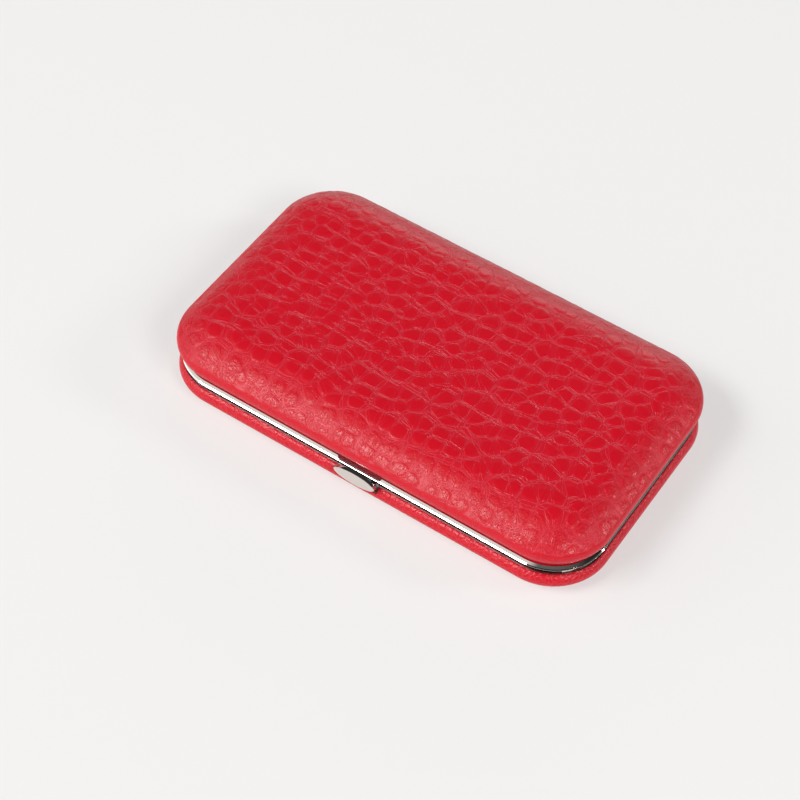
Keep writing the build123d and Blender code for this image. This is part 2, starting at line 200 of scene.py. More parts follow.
# %% [markdown]
# ## Lamps
#
# A small product is lit by soft lamps from all sides, so that its colours stay calm and its
# shadow has no hard edge. None of them stands where the flat red top mirrors it, so the top
# keeps its red. The bright one in front draws the glints on the shoulder and the white line
# on the lid's lip. The two on the right are small: a polished lip mirrors a wide lamp as a
# white band, while dull leather can't tell a small lamp from a wide one of the same power.

# %% Softboxes
STAND = 2.5                 # metres from the case, so that the light is even over the floor
SOFTBOXES = {               # towards it, its size in metres, its brightness
    "front_softbox": ((-0.36, -0.56, 0.75), (1.1, 0.65), 17.0),
    "left_softbox": ((-0.78, -0.39, 0.49), (1.8, 1.4), 1.3),
    "right_softbox": ((0.78, 0.42, 0.46), (0.5, 0.5), 18.4),
    "top_softbox": ((0.68, -0.3, 0.66), (0.8, 0.7), 14.5),
    "back_softbox": ((-0.33, 0.93, 0.22), (1.8, 0.7), 2.7),
}


def softbox(name, towards, size, brightness):
    """A flat lamp of size (width, height) that faces the case from the given direction."""
    data = bpy.data.lights.new(name, "AREA")
    data.shape = "RECTANGLE"
    data.size, data.size_y = size
    data.energy = brightness * math.pi * size[0] * size[1]
    lamp = bpy.data.objects.new(name, data)
    scene.collection.objects.link(lamp)
    lamp.location = Vector(towards).normalized() * STAND
    lamp.rotation_euler = lamp.location.to_track_quat("Z", "Y").to_euler()


for name, (towards, size, brightness) in SOFTBOXES.items():
    softbox(name, towards, size, brightness)


# %% [markdown]
# ## Paper floor
#
# The case lies on matt white paper. Real studio paper is lit until it is nearly white, and
# then it would also flood the case from below. So the paper glows by itself, but only to
# rays that see it straight, in a mirror or through glass. The rest of it is plain matt
# white, and that part holds the shadow.

# %% Floor
PAPER_COLOUR = "#F0EFEE"
PAPER_GLOW = 0.55           # share of the paper that glows, the rest takes the shadow
PAPER_REACH = 3.0           # metres from the case to the paper's edge

floor_mesh = bmesh.new()
bmesh.ops.create_grid(floor_mesh, x_segments=1, y_segments=1, size=PAPER_REACH)
floor_data = bpy.data.meshes.new("floor")
floor_mesh.to_mesh(floor_data)
floor_mesh.free()
floor = bpy.data.objects.new("floor", floor_data)
scene.collection.objects.link(floor)
# uncoated paper scatters light evenly, so it is matt from every side
paper, tree = new_material("matt_paper_floor")
matt = add(tree, "ShaderNodeBsdfDiffuse", {"Color": linear(PAPER_COLOUR)})
lit = add(tree, "ShaderNodeEmission", {"Color": linear(PAPER_COLOUR), "Strength": 1.0})
rays = add(tree, "ShaderNodeLightPath").outputs
seen = add(tree, MATH, {0: rays["Is Camera Ray"], 1: rays["Is Glossy Ray"]}, operation="MAXIMUM")
seen = add(tree, MATH, {0: seen, 1: rays["Is Transmission Ray"]}, operation="MAXIMUM")
share = add(tree, MATH, {0: seen, 1: PAPER_GLOW}, operation="MULTIPLY")
finish_material(tree, add(tree, "ShaderNodeMixShader", {0: share, 1: matt, 2: lit}))
floor_data.materials.append(paper)
print("floor:", paper.name)


# %% [markdown]
# ## Litchi-grained leather
#
# The lid is covered in coated leather that was pressed with a litchi grain: round pebbles
# about four millimetres apart, with shallow valleys between them, and thin straight wrinkles
# that run along and across the valleys. The pebbles are real relief in the mesh. The
# wrinkles are finer than the mesh, so the material draws them.
#
# Leather is a flat sheet that was stretched over the form, so its grain is laid out on the
# flat sheet: each point of the mesh carries the place that it had there. The same few nodes
# then find the pebbles for the relief and for the colour, and the two always agree.

# %% Grain, shared by relief and colour
GRAIN_PITCH = 4.3 * MM      # from one pebble to the next
GRAIN_ORDER = 0.72          # 0 is a square pattern, 1 is fully random
PEBBLE_R = 2.0 * MM         # a pebble is no wider than this, however wide its cell
PEBBLE_SIDE = 0.5 * MM      # width of its sloping side
PEBBLE_ROUND = 0.4 * MM     # how far its corners are rounded off
BEND_PITCH = 7 * MM         # length over which the valleys bend to and fro
PEBBLE_BEND = 1.2 * MM      # how far they bend
GRAIN_END = (14.2 * MM, 15.8 * MM)  # the grain runs out between these, down the side
HIDE = "hide_place"         # mesh attribute: where a point lay on the flat sheet
RIM = "rim_place"           # mesh attribute: how far round the case, and how far down the side


def wander(tree, place, pitch, reach, offset):
    """The place moved about by a soft noise, so that straight cell edges bend."""
    other = add(tree, VECTOR_MATH, {0: place, 1: (offset, offset * 0.7, 0)}, operation="ADD")
    noise = add(tree, NOISE, {"Vector": other, "Scale": 1 / pitch, "Detail": 1.0})
    centred = add(tree, VECTOR_MATH, {0: noise.outputs["Color"], 1: (0.5, 0.5, 0.5)},
                  operation="SUBTRACT")
    push = add(tree, VECTOR_MATH, {0: centred, "Scale": 2 * reach}, operation="SCALE")
    return add(tree, VECTOR_MATH, {0: place, 1: push}, operation="ADD")


def cell(tree, place, pitch, feature, randomness):
    """A distance in a field of cells, in metres: to the cell's edge or to its centre."""
    cells = add(tree, "ShaderNodeTexVoronoi", {
        "Vector": place, "Scale": 1 / pitch, "Randomness": randomness,
    }, voronoi_dimensions="2D", feature=feature)
    return add(tree, MATH, {0: cells.outputs["Distance"], 1: pitch}, operation="MULTIPLY")


def pebbles(tree, place):
    """0 in the valleys to 1 on top of a pebble, which is a cell with its corners rounded off."""
    bent = wander(tree, place, BEND_PITCH, PEBBLE_BEND, 0.0)
    edge = cell(tree, bent, GRAIN_PITCH, "DISTANCE_TO_EDGE", GRAIN_ORDER)
    middle = cell(tree, bent, GRAIN_PITCH, "F1", GRAIN_ORDER)
    inward = add(tree, MATH, {0: PEBBLE_R, 1: middle}, operation="SUBTRACT")
    rounded = add(tree, MATH, {0: edge, 1: inward, 2: PEBBLE_ROUND}, operation="SMOOTH_MIN")
    return add(tree, MAP_RANGE, {
        "Value": rounded, "From Min": 0.0, "From Max": PEBBLE_SIDE,
    }, interpolation_type="SMOOTHSTEP")


def grained_part(tree, down):
    """1 where the sheet is grained, falling to 0 where the grain runs out down the side."""
    return add(tree, MAP_RANGE, {
        "Value": down, "From Min": GRAIN_END[0], "From Max": GRAIN_END[1],
        "To Min": 1.0, "To Max": 0.0,
    }, interpolation_type="SMOOTHSTEP")


print(f"grain pitch {GRAIN_PITCH * 1000:.1f} mm")


# %% [markdown]
# ## Colour and gloss of the leather
# A thin polyurethane coat over a sheet coloured with dye shines more on the pebbles, which are
# pressed smooth, than in the valleys, which stay matt. The valleys are painted a little paler, and
# the wrinkles paler still: painted sheen, for the light that their rough faces scatter.
# Several thin wrinkles lie
# smooth, than in the valleys, which stay matt and a little paler. Several thin wrinkles lie
# side by side in each valley. They come from the same cells with their centres pushed
# about a little more or less, so each set of wrinkles is straight and follows the valleys,
# and the sets cross each other where valleys meet.

# %% Wrinkles and creases
WRINKLES = [                # how random the cells are, how far their edges bend, which noise
    (0.42, 1.1 * MM, 0.0), (0.58, 1.4 * MM, 0.1), (0.86, 1.4 * MM, 0.2), (1.0, 1.1 * MM, 0.3),
]
WRINKLE_WIDTH = (0.03 * MM, 0.16 * MM)  # full to this half width, gone at that one
CREASE_PITCH = 1.1 * MM     # from one crease to the next, round the case
SHOULDER = (6 * MM, 11 * MM)    # the sheet is stretched more and more between these


def lines_between(tree, place, pitch, randomness, thin, wide):
    """Thin lines along the edges of cells, as 0 to 1."""
    edge = cell(tree, place, pitch, "DISTANCE_TO_EDGE", randomness)
    return add(tree, MAP_RANGE, {
        "Value": edge, "From Min": thin, "From Max": wide, "To Min": 1.0, "To Max": 0.0,
    }, interpolation_type="SMOOTHSTEP")


def wrinkles(tree, place):
    """Thin wrinkles in the valleys, as 0 to 1."""
    found = 0.0
    for randomness, reach, offset in WRINKLES:
        bent = wander(tree, place, BEND_PITCH, reach, offset)
        line = lines_between(tree, bent, GRAIN_PITCH, randomness, *WRINKLE_WIDTH)
        found = add(tree, MATH, {0: line, 1: found}, operation="MAXIMUM")
    return found


def creases(tree, rim):
    """Fine creases that run down the side, where the sheet is pulled in round the corners."""
    squeezed = add(tree, VECTOR_MATH, {0: rim, 1: (1.0, 0.12, 1.0)}, operation="MULTIPLY")
    noise = add(tree, NOISE, {"Vector": squeezed, "Scale": 1 / CREASE_PITCH, "Detail": 2.0})
    return add(tree, MAP_RANGE, {
        "Value": noise, "From Min": 0.50, "From Max": 0.62,
    }, interpolation_type="SMOOTHSTEP")


def on_shoulder(tree, down, mark, most):
    """The mark, from nothing on the flat to its most on the shoulder."""
    part = add(tree, MAP_RANGE, {
        "Value": down, "From Min": SHOULDER[0], "From Max": SHOULDER[1],
        "To Min": 0.0, "To Max": most,
    }, interpolation_type="SMOOTHSTEP")
    return add(tree, MATH, {0: mark, 1: part}, operation="MULTIPLY")


print(len(WRINKLES), "sets of wrinkles,", CREASE_PITCH / MM, "mm between creases")


# %% Marks of the two leathers
COARSE_NET = (1.9 * MM, 1.0, 0.03 * MM, 0.16 * MM)  # crackle: pitch, randomness, widths as above
FINE_NET = (0.95 * MM, 1.0, 0.02 * MM, 0.12 * MM)
SMOOTH_NET = (1.5 * MM, 0.9, 0.02 * MM, 0.4 * MM)
VALLEY_SHARE = 0.7          # how much of a wrinkle is lost on top of a pebble


def grained_marks(tree, place, crackle_place, down, pulled):
    """Pebble tops, wrinkles, crackle, creases and painted sheen lines of the grained sheet."""
    grain = grained_part(tree, down)
    tops = add(tree, MATH, {0: pebbles(tree, place), 1: grain}, operation="MULTIPLY")
    covered = add(tree, MATH, {0: tops, 1: -VALLEY_SHARE, 2: grain}, operation="MULTIPLY_ADD")
    lines = add(tree, MATH, {0: wrinkles(tree, place), 1: covered}, operation="MULTIPLY")
    crackle = add(tree, MATH, {
        0: lines_between(tree, crackle_place, *COARSE_NET),
        1: lines_between(tree, crackle_place, *FINE_NET),
    }, operation="MAXIMUM")
    crackle = on_shoulder(tree, down, crackle, 0.9)
    crackle = add(tree, MATH, {0: crackle, 1: grain}, operation="MULTIPLY")
    # painted sheen: the wrinkles get a paler colour, for the light that their rough faces scatter
    drawn = add(tree, MATH, {0: lines, 1: 0.55}, operation="MULTIPLY")
    return tops, lines, crackle, on_shoulder(tree, down, pulled, 0.6), drawn


def smooth_marks(tree, crackle_place, pulled):
    """The same for the smooth sheet: crackle, creases, and painted sheen along the crackle."""
    crackle = lines_between(tree, crackle_place, *SMOOTH_NET)
    # painted sheen: the crackle gets the paler valley colour and some wrinkle colour, for small
    # glints
    tops = add(tree, MATH, {0: 1.0, 1: crackle}, operation="SUBTRACT")
    drawn = add(tree, MATH, {0: crackle, 1: 0.4}, operation="MULTIPLY")
    pulled = add(tree, MATH, {0: pulled, 1: 0.5}, operation="MULTIPLY")
    return tops, 0.0, crackle, pulled, drawn


print("crackle nets:", [net[0] / MM for net in (COARSE_NET, FINE_NET, SMOOTH_NET)], "mm")


# %% Leather
# valley and wrinkle colours are the dye made paler as painted sheen, for light scattered there
LEATHER_DEEP = "#C80D21"    # on top of a pebble
LEATHER_PALE_SHEEN = "#CA1126"    # in a valley
LEATHER_LINE_SHEEN = "#D22C3C"    # along a wrinkle
VALLEY_ROUGH, TOP_ROUGH = 0.36, 0.31
COAT_IOR = 1.4              # a soft polyurethane coat bends light less than hard plastic
PORE_PITCH = 0.35 * MM      # the fine uneven skin of the coat
MARK_DEPTH = 0.07 * MM
CRACKLE_BEND = (3 * MM, 0.8 * MM, 0.05)     # length, reach and noise of the crackle's bends


def leather(name, grained):
    """Coated leather: a red dye under a soft plastic coat, with a low, wide sheen."""
    material, tree = new_material(name)
    place = add(tree, "ShaderNodeAttribute", attribute_name=HIDE).outputs["Vector"]
    rim = add(tree, "ShaderNodeAttribute", attribute_name=RIM).outputs["Vector"]
    down = add(tree, "ShaderNodeSeparateXYZ", {0: rim}).outputs["Y"]
    fine = add(tree, NOISE, {"Vector": place, "Scale": 1 / PORE_PITCH, "Detail": 2.0})
    pulled = creases(tree, rim)
    crackle_place = wander(tree, place, *CRACKLE_BEND)
    if grained:
        marks = grained_marks(tree, place, crackle_place, down, pulled)
    else:
        marks = smooth_marks(tree, crackle_place, pulled)
    tops, lines, crackle, pulled, drawn = marks
    # painted sheen: valleys and wrinkles are coloured paler than the pebble tops
    dye_and_sheen = add(tree, "ShaderNodeMixRGB", {
        "Fac": tops, "Color1": linear(LEATHER_PALE_SHEEN), "Color2": linear(LEATHER_DEEP),
    })
    coat = add(tree, "ShaderNodeMixRGB", {
        "Fac": drawn, "Color1": dye_and_sheen, "Color2": linear(LEATHER_LINE_SHEEN),
    })
    rough = add(tree, MAP_RANGE, {"Value": tops, "To Min": VALLEY_ROUGH, "To Max": TOP_ROUGH})
    deepest = add(tree, MATH, {0: lines, 1: pulled}, operation="MAXIMUM")
    deepest = add(tree, MATH, {0: deepest, 1: crackle}, operation="MAXIMUM")
    height = add(tree, MATH, {0: fine, 1: 0.3}, operation="MULTIPLY")
    height = add(tree, MATH, {0: height, 1: deepest}, operation="SUBTRACT")
    bump = add(tree, "ShaderNodeBump", {"Height": height, "Strength": 1.0, "Distance": MARK_DEPTH})
    finish_material(tree, add(tree, "ShaderNodeBsdfPrincipled", {
        "Base Color": coat, "Roughness": rough, "IOR": COAT_IOR, "Normal": bump,
    }))
    return material


litchi_leather = leather("pressed_litchi_leather", grained=True)
smooth_leather = leather("pressed_smooth_leather", grained=False)
print(litchi_leather.name, smooth_leather.name)


# %% [markdown]
# ## Metals
#
# The strips round both halves, the button and the hinges are pressed steel, plated with
# nickel over copper and polished, so they mirror the room with a slightly warm tint. The
# base's strip gets a darker grey tint, so it mirrors the same room but darker. The
# hidden latch is plain tumbled steel, and its spring is blued by its heat treatment.

# %% Metal materials
def metal(name, tint, roughness, mark_pitch, mark_depth):
    """A bare or plated metal with fine marks of its polishing or tumbling."""
    material, tree = new_material(name)
    place = add(tree, "ShaderNodeTexCoord").outputs["Object"]
    marks = add(tree, NOISE, {"Vector": place, "Scale": 1 / mark_pitch, "Detail": 3.0})
    rough = add(tree, MAP_RANGE, {
        "Value": marks, "To Min": roughness * 0.8, "To Max": roughness * 1.3,
    })
    bump = add(tree, "ShaderNodeBump", {"Height": marks, "Strength": 0.3, "Distance": mark_depth})
    finish_material(tree, add(tree, "ShaderNodeBsdfPrincipled", {
        "Base Color": linear(tint), "Metallic": 1.0, "Roughness": rough, "Normal": bump,
    }))
    return material


# polished on a wheel: a near mirror, with faint waves that the wheel left
nickel = metal("polished_nickel_plate", "#E2DDD6", 0.04, 1.5 * MM, 0.002 * MM)
# the base's strip: a darker grey tint, which darkens all that it mirrors
dark_nickel = metal("darker_tinted_nickel_plate", "#858482", 0.06, 1.5 * MM, 0.002 * MM)
# tumbled with stones: grey, dull and evenly scuffed
steel = metal("tumbled_steel", "#A9A8A6", 0.32, 0.4 * MM, 0.01 * MM)
# hardened strip: satin, with the cold tint of its oxide
spring_steel = metal("blued_spring_steel", "#7F8288", 0.25, 0.6 * MM, 0.004 * MM)
print(nickel.name, dark_nickel.name, steel.name, spring_steel.name)


# %% [markdown]
# ## Foam, shells, lining and the catch plate's painted shade
#
# Under the leather lies open-cell polyurethane foam on a stiff pressed shell. Inside, a tray
# flocked with short black fibres keeps the tools from rattling. The catch plate behind the
# button is coloured dark red as painted shade: it stands for the red leather in shadow that
# shows through the notch. All of these are rough, and one fine noise gives each its mottled
# colour and its uneven surface.

# %% Soft and plastic materials, and the catch plate's painted shade
MOTTLE = (0.35, 0.65)       # the middle part of the noise, over which the two colours blend


def bumpy(name, colours, roughness, pitch, depth, **extra):
    """A rough surface whose colour and height follow one fine noise."""
    material, tree = new_material(name)
    place = add(tree, "ShaderNodeTexCoord").outputs["Object"]
    noise = add(tree, NOISE, {"Vector": place, "Scale": 1 / pitch, "Detail": 4.0})
    ramp = add(tree, "ShaderNodeValToRGB", {"Fac": noise})
    for mark, position, colour in zip(ramp.color_ramp.elements, MOTTLE, colours):
        mark.position, mark.color = position, linear(colour)
    bump = add(tree, "ShaderNodeBump", {"Height": noise, "Strength": 0.6, "Distance": depth})
    finish_material(tree, add(tree, "ShaderNodeBsdfPrincipled", {
        "Base Color": ramp, "Roughness": roughness, "Normal": bump, **extra,
    }))
    return material


# cut foam: matt cream, full of open cells half a millimetre wide
foam_sheet = bumpy("open_cell_foam", ("#C9C4B4", "#DAD6C8"), 0.95, 0.5 * MM, 0.1 * MM)
# painted shade: dark red for the leather in shadow behind the notch, little shine, slight bump
shaded_leather_red = bumpy("catch_plate_painted_shade", ("#6E0C18", "#8A1624"), 0.5, 2.0 * MM, 0.02 * MM,
                    **{"Specular IOR Level": 0.12})
# moulded in a finely spark-eroded tool: black with a soft sheen
shell_plastic = bumpy("moulded_abs_shell", ("#2A2A2B", "#303031"), 0.45, 0.8 * MM, 0.01 * MM)
# flocked: fibres standing on end swallow the light and glow a little at a low angle
flock = bumpy("flocked_lining", ("#17171A", "#26262B"), 0.95, 0.3 * MM, 0.12 * MM,
              **{"Sheen Weight": 0.6, "Sheen Roughness": 0.5})
print(foam_sheet.name, shaded_leather_red.name, shell_plastic.name, flock.name)


# %% [markdown]
# ## Woven elastic
#
# Elastic webbing is woven over rubber cords, which draw it into ribs across the band. The
# ribs follow the band over its loops, so the pattern is laid out on the flat band: every
# point of the mesh carries how far along the band it lies.

# %% Woven elastic
THREAD_PITCH = 0.6 * MM     # from rib to rib, drawn coarse enough to show
WAVE_PITCH = math.pi / 10   # from wave to wave in a wave pattern of scale 1


def elastic():
    """Woven elastic: ribs across the band, fine threads along it, dull and black."""
    material, tree = new_material("woven_elastic")
    place = add(tree, "ShaderNodeAttribute", attribute_name=HIDE).outputs["Vector"]
    ribs = add(tree, "ShaderNodeTexWave", {
        "Vector": place, "Scale": WAVE_PITCH / THREAD_PITCH, "Distortion": 0.4,
    }, bands_direction="X")
    threads = add(tree, "ShaderNodeTexWave", {
        "Vector": place, "Scale": 2 * WAVE_PITCH / THREAD_PITCH, "Distortion": 0.3,
    }, bands_direction="Y")
    height = add(tree, MATH, {
        0: threads.outputs["Fac"], 1: 0.4, 2: ribs.outputs["Fac"],
    }, operation="MULTIPLY_ADD")
    # painted shade: colour follows the weave's height, darker in the hollows, lighter on the ribs
    ramp = add(tree, "ShaderNodeValToRGB", {"Fac": height})
    for mark, colour in zip(ramp.color_ramp.elements, ("#0C0C0E", "#2C2C31")):
        mark.color = linear(colour)
    bump = add(tree, "ShaderNodeBump", {"Height": height, "Strength": 0.8, "Distance": 0.12 * MM})
    finish_material(tree, add(tree, "ShaderNodeBsdfPrincipled", {
        "Base Color": ramp, "Roughness": 0.8, "Sheen Weight": 0.3, "Normal": bump,
    }))
    return material


woven_elastic = elastic()
print(woven_elastic.name)


# %% [markdown]
# ## Carrying a section round the case
#
# Every layer has the same plan, a rectangle with round corners, and its own section. The
# section is a row of points joined by edges. Spin with no angle pulls it along a straight
# side, and spin with a quarter turn carries it round a corner. After four of each it meets
# itself, and merging the doubles closes the ring.

# %% Plan of the case, and the sweep
HALF_L, HALF_W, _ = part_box("lid_cover")[1]
CORNER = 14.4 * MM          # radius of the plan's corners
LONG = HALF_L - CORNER      # from the middle of the case to the corners' centres
SHORT = HALF_W - CORNER
MERGE = 0.002 * MM          # points nearer than this are one
SECTION_RUN = "run"         # mesh attribute: how far along the section a point lies


def arc(centre, radius, start, end, steps):
    """Points on an arc, from start to end in degrees, both ends included."""
    angles = [math.radians(start + (end - start) * index / steps) for index in range(steps + 1)]
    x, y = centre
    return [(x + radius * math.cos(angle), y + radius * math.sin(angle)) for angle in angles]


def along(points, spacing):
    """The same line with its long pieces cut up to the spacing."""
    out = [points[0]]
    for start, end in zip(points, points[1:]):
        parts = max(1, round(math.dist(start, end) / spacing))
        for part in range(1, parts + 1):
            out.append(tuple(a + (b - a) * part / parts for a, b in zip(start, end)))
    return out


def carry(bm, geom, steps, step=(0, 0, 0), degrees=0.0, centre=(0, 0, 0), axis=(0, 0, 1)):
    """Pulls or turns a line of the mesh by so many steps, and gives the line it ends at."""
    return bmesh.ops.spin(
        bm, geom=geom, cent=centre, axis=axis, dvec=step, angle=math.radians(degrees),
        steps=steps, use_duplicate=False)["geom_last"]


def carry_round(bm, section, long_steps, short_steps, corner_steps, closed=False):
    """Carries a section round the plan. Its points are (offset, height) in millimetres."""
    layer = bm.verts.layers.float.get(SECTION_RUN) or bm.verts.layers.float.new(SECTION_RUN)
    verts = []
    run = 0.0
    for index, (offset, height) in enumerate(section):
        if index:
            run += math.dist(section[index], section[index - 1]) * MM
        vert = bm.verts.new((-LONG, -(HALF_W + offset * MM), height * MM))
        vert[layer] = run
        verts.append(vert)
    edges = [bm.edges.new(pair) for pair in zip(verts, verts[1:])]
    if closed:
        edges.append(bm.edges.new((verts[-1], verts[0])))
    geom = verts + edges
    corners = [(LONG, -SHORT), (LONG, SHORT), (-LONG, SHORT), (-LONG, -SHORT)]
    sides = [
        (Vector((2 * LONG, 0, 0)), long_steps), (Vector((0, 2 * SHORT, 0)), short_steps),
        (Vector((-2 * LONG, 0, 0)), long_steps), (Vector((0, -2 * SHORT, 0)), short_steps),
    ]
    for (side, count), corner in zip(sides, corners):
        geom = carry(bm, geom, count, step=side / count)
        geom = carry(bm, geom, corner_steps, degrees=90, centre=(*corner, 0))
    bmesh.ops.remove_doubles(bm, verts=bm.verts, dist=MERGE)


def middle_plate(bm, height, long_steps, short_steps):
    """The flat middle between the corners' centres."""
    made = bmesh.ops.create_grid(
        bm, x_segments=long_steps, y_segments=short_steps, size=1.0)["verts"]
    bmesh.ops.scale(bm, verts=made, vec=(LONG, SHORT, 1))
    bmesh.ops.translate(bm, verts=made, vec=(0, 0, height * MM))
    bmesh.ops.remove_doubles(bm, verts=bm.verts, dist=MERGE)


print(f"plan: {2 * HALF_L / MM:.1f} x {2 * HALF_W / MM:.1f} mm, corners {CORNER / MM:.1f} mm")


# %% From a shape to a piece
def new_piece(name, bm, finish, body, sharp):
    """Turns a bmesh into a piece that rides on its body, with edges past sharp degrees crisp."""
    bmesh.ops.recalc_face_normals(bm, faces=bm.faces)
    mesh = bpy.data.meshes.new(name)
    bm.to_mesh(mesh)
    bm.free()
    mesh.materials.append(finish)
    for polygon in mesh.polygons:
        polygon.use_smooth = True
    mesh.set_sharp_from_angle(angle=math.radians(sharp))
    piece = bpy.data.objects.new(name, mesh)
    scene.collection.objects.link(piece)
    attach(piece, body)
    return piece


def finished(piece, node):
    """The piece stands for a plain node; prints its triangles and how many edges are open."""
    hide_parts(node)
    mesh = bmesh.new()
    mesh.from_mesh(piece.data)
    triangles = sum(len(face.verts) - 2 for face in mesh.faces)
    open_edges = sum(not edge.is_manifold for edge in mesh.edges)
    print(f"{piece.name}: {triangles} triangles, {open_edges} open edges")
    mesh.free()


def applied(piece):
    """Turns a piece's modifiers into plain mesh."""
    shape = piece.evaluated_get(bpy.context.evaluated_depsgraph_get())
    mesh = bpy.data.meshes.new_from_object(shape)
    piece.modifiers.clear()
    old, name = piece.data, piece.data.name
    piece.data = mesh
    bpy.data.meshes.remove(old)
    mesh.name = name


print("helpers: new_piece, finished, applied")


# %% [markdown]
# ## The leather of the lid and of the base
#
# The sheet comes out of the frame, swells over the side, runs up a long soft shoulder and
# lies flat on top. Its outer face is a fine mesh, because it carries the pebbles; its inner
# face is never seen and stays coarse. Bridging their two edges closes the sheet.

# %% Sections of the leather
LEATHER = 0.6               # these four in millimetres
EDGE_OUT = -1.95            # outer face of the leather, where it enters the frame
SKIVED = 0.4                # thickness of its edge there, which is pared down
FLAT_END = -CORNER / MM     # where the section ends on the flat, at the corners' centres


def crown(widest, wide_z, flat_z, side_r, shoulder, steps):
    """From the flat, down the shoulder and round the side to the widest line."""
    up = 1 if flat_z > wide_z else -1
    across = shoulder + widest - side_r
    rise = abs(flat_z - wide_z) - side_r
    turn = 90 - 2 * math.degrees(math.atan2(rise, across))
    shift = across / math.cos(math.radians(turn))
    centre = (-shoulder, wide_z - up * shift * math.sin(math.radians(turn)))
    wide = arc(centre, side_r + shift, up * 90, up * turn, steps)
    side = arc((widest - side_r, wide_z), side_r, up * turn, 0, max(3, steps // 4))
    return wide + side[1:]


def leather_section(edge_z, wide_z, flat_z, side_r, tuck_r, shoulder, inset, steps):
    """The leather's outer or inner face, from the flat to its edge in the frame."""
    up = 1 if flat_z > wide_z else -1
    flat = flat_z - up * inset
    over = crown(-inset, wide_z, flat, side_r - inset, shoulder, steps)
    edge = EDGE_OUT - min(inset, SKIVED)
    reach = max(0, tuck_r + edge)
    turn = math.degrees(math.acos(reach / (tuck_r - inset)))
    under = arc((-tuck_r, wide_z), tuck_r - inset, 0, -up * turn, max(3, steps // 4))
    # the inner face's edge is a little further in, so that the bridge between them has a slope
    return [(FLAT_END, flat), *over, *under[1:], (edge, edge_z + up * inset / 6)]


print("leather", LEATHER, "mm, its edge", SKIVED, "mm")


# %% Laying the leather out flat
def way_round(foot, out):
    """How far round the case a point is, from the left end of its front."""
    turned = math.atan2(out.y, out.x) + math.radians(90)
    straight = foot.x + LONG + foot.y + SHORT
    if out.y > 0 and foot.y >= SHORT or out.x < 0 and foot.x <= -LONG and out.y >= 0:
        straight = 4 * (LONG + SHORT) - straight
    return turned * CORNER + straight


def unroll(mesh):
    """Writes down where each point lay on the flat sheet, and its way round and down the side."""
    mesh.attributes.new(HIDE, "FLOAT_VECTOR", "POINT")
    mesh.attributes.new(RIM, "FLOAT_VECTOR", "POINT")
    runs, hide, rim = (mesh.attributes[key].data for key in (SECTION_RUN, HIDE, RIM))
    for vertex in mesh.vertices:
        x, y, _ = vertex.co
        foot = Vector((min(max(x, -LONG), LONG), min(max(y, -SHORT), SHORT)))
        out = Vector((x, y)) - foot
        run = runs[vertex.index].value
        if out.length > MERGE:
            hide[vertex.index].vector = (*(foot + out.normalized() * run), 0)
            rim[vertex.index].vector = (way_round(foot, out), run, 0)
        else:
            hide[vertex.index].vector = (*foot, 0)


print("once round the corners' centres:", round(4 * (LONG + SHORT) / MM), "mm")


# %% The two sheets
LID_FORM = (8.65, 13.4, 19.6, 2.4, 2.6, 12.8)   # heights of edge, widest line and flat, radii
BASE_FORM = (6.95, 4.2, 0.0, 1.7, 2.1, 8.7)     # of side and tuck, and reach of the shoulder
SPACING = 0.36   # of the lid's mesh, fine enough for the pebbles
BASE_SPACING = 0.8
INNER_STEPS = (12, 6, 10)   # of the unseen faces: along, across and round a corner


def inner_face(form):
    """The unseen face of the leather, as a mesh of its own."""
    bm = bmesh.new()
    _, wide_z, flat_z = form[:3]
    up = 1 if flat_z > wide_z else -1
    carry_round(bm, leather_section(*form, LEATHER, 8), *INNER_STEPS)
    middle_plate(bm, flat_z - up * LEATHER, *INNER_STEPS[:2])
    mesh = bpy.data.meshes.new("inner_face")
    bm.to_mesh(mesh)
    bm.free()
    return mesh


def leather_sheet(name, body, finish, spacing, form):
    """The closed leather sheet over one half of the case."""
    lengths = (2 * LONG / MM, 2 * SHORT / MM, CORNER / MM * 1.571)
    steps = [round(length / spacing) for length in lengths]
    bm = bmesh.new()
    carry_round(bm, along(leather_section(*form, 0.0, 40), spacing), *steps)
    middle_plate(bm, form[2], *steps[:2])
    outer = set(bm.verts)
    inner = inner_face(form)
    bm.from_mesh(inner)
    bpy.data.meshes.remove(inner)
    rims = [edge for edge in bm.edges if edge.is_boundary]
    outer_rim = [edge for edge in rims if edge.verts[0] in outer]
    inner_rim = [edge for edge in rims if edge.verts[0] not in outer]
    bmesh.ops.bridge_loops(bm, edges=outer_rim + inner_rim)
    bmesh.ops.triangulate(bm, faces=[face for face in bm.faces if len(face.verts) > 4])
    piece = new_piece(name, bm, finish, body, sharp=60.0)
    unroll(piece.data)
    return piece


lid_leather = leather_sheet("lid_leather", "lid", litchi_leather, SPACING, LID_FORM)
base_leather = leather_sheet("base_leather", "base", smooth_leather, BASE_SPACING, BASE_FORM)
print("sheets:", lid_leather.name, base_leather.name)


# %% [markdown]
# ## Relief of the grain
#
# A press squeezes the valleys into the leather and leaves the pebbles standing. Here a group
# of geometry nodes sinks every point by the depth of its valley. It reads the same attributes
# and runs the same nodes as the material. The modifier is then applied, so what is left is a
# plain mesh.

# %% Press the grain
PEBBLE_HEIGHT = 0.11 * MM


